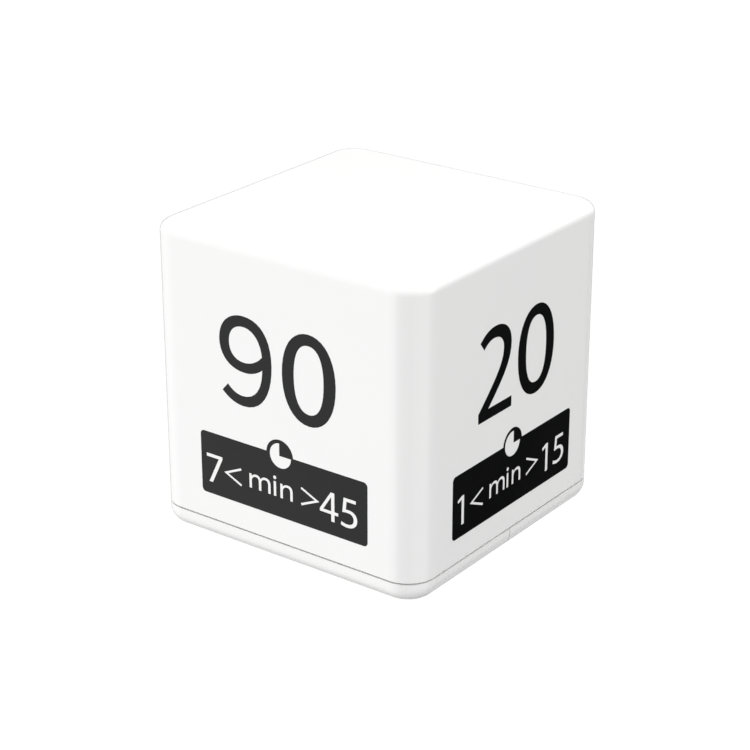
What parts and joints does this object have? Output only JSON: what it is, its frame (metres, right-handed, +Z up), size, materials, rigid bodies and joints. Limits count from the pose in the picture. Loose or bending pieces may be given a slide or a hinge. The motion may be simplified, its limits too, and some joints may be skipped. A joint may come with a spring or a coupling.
{
  "type": "visual countdown timer",
  "caption": "White cube countdown timer that starts when a numbered face is turned up, with a sliding battery door, a slide switch and a display in its base.",
  "frame": {"origin": "middle of the base, on the surface it stands on", "axes": "+Z up, -Y towards the face numbered 90, +X towards the face numbered 20, +Y the way the battery door slides off"},
  "size_m": [0.0636, 0.0636, 0.0635],
  "materials": {
    "white_abs": "moulded, high gloss",
    "frame_plastic": "moulded, matt",
    "window_acrylic": "clear moulded window",
    "display_glass": "liquid crystal glass with polariser",
    "display_film": "polarising film",
    "strip_rubber": "layered elastomer",
    "board_laminate": "glass fibre laminate under green solder mask",
    "plated_steel": "nickel plated, bright",
    "epoxy_black": "potted epoxy",
    "chip_black": "moulded chip bodies",
    "capacitor_sleeve": "shrunk sleeve",
    "ferrite": "pressed ferrite",
    "phenolic": "phenolic paper",
    "black_abs": "moulded, fine texture",
    "plug_plastic": "moulded insulator",
    "gold_pin": "gold flashed brass wire",
    "sounder_brass": "rolled sheet",
    "sounder_disc": "silvered piezo ceramic",
    "cell_can": "printed metal sleeve",
    "lead_red": "vinyl insulation",
    "lead_black": "vinyl insulation",
    "printed_ink": "pad printed",
    "display_segment": "liquid crystal segments",
    "pale_print": "screen printed",
    "solder": "hand soldered, bright",
    "copper": "enamelled or plated copper",
    "terracotta_ceramic": "fired ceramic bodies"
  },
  "bodies": {
    "case": {"body_shell": "white_abs", "base_cover": "white_abs", "cover_screws": "plated_steel", "display_window": "window_acrylic", "display_front_film": "display_film", "display_front_glass": "display_glass", "display_rear_glass": "display_glass", "display_rear_film": "display_film", "display_frame": "frame_plastic", "connector_strip": "strip_rubber", "main_board": "board_laminate", "board_screws": "plated_steel", "controller_drop": "epoxy_black", "crystal_can": "plated_steel", "capacitor": "capacitor_sleeve", "driver_coil": "ferrite", "chip_parts": "chip_black", "switch_frame": "plated_steel", "switch_base": "phenolic", "switch_pins": "plated_steel", "tilt_can_1": "plated_steel", "tilt_can_2": "plated_steel", "tilt_plug_1": "plug_plastic", "tilt_plug_2": "plug_plastic", "tilt_pins_1": "gold_pin", "tilt_pins_2": "gold_pin", "sounder_plate": "sounder_brass", "sounder_ceramic": "sounder_disc", "sounder_ring": "frame_plastic", "battery_cell_1": "cell_can", "battery_cell_2": "cell_can", "contact_positive": "plated_steel", "contact_negative": "plated_steel", "contact_bridge": "plated_steel", "contact_springs": "plated_steel", "battery_lead_red": "lead_red", "battery_lead_black": "lead_black", "sounder_lead_1": "lead_red", "sounder_lead_2": "lead_black"},
    "door": {"battery_door": "white_abs"},
    "switch": {"switch_slider": "black_abs", "power_knob": "black_abs"},
    "ball_1": {"tilt_ball_1": "plated_steel"},
    "ball_2": {"tilt_ball_2": "plated_steel"}
  },
  "joints": [
    {"name": "door_slide", "type": "slide", "parent": "case", "child": "door", "axis": [0, 1, 0], "range_m": [0, 0.03]},
    {"name": "power_slide", "type": "slide", "parent": "case", "child": "switch", "axis": [1, 0, 0], "range_m": [0, 0.003]},
    {"name": "ball_1_roll", "type": "slide", "parent": "case", "child": "ball_1", "axis": [0.7071, -0.7071, 0], "range_m": [0, 0.0025]},
    {"name": "ball_2_roll", "type": "slide", "parent": "case", "child": "ball_2", "axis": [-0.7071, -0.7071, 0], "range_m": [0, 0.0025]}
  ]
}
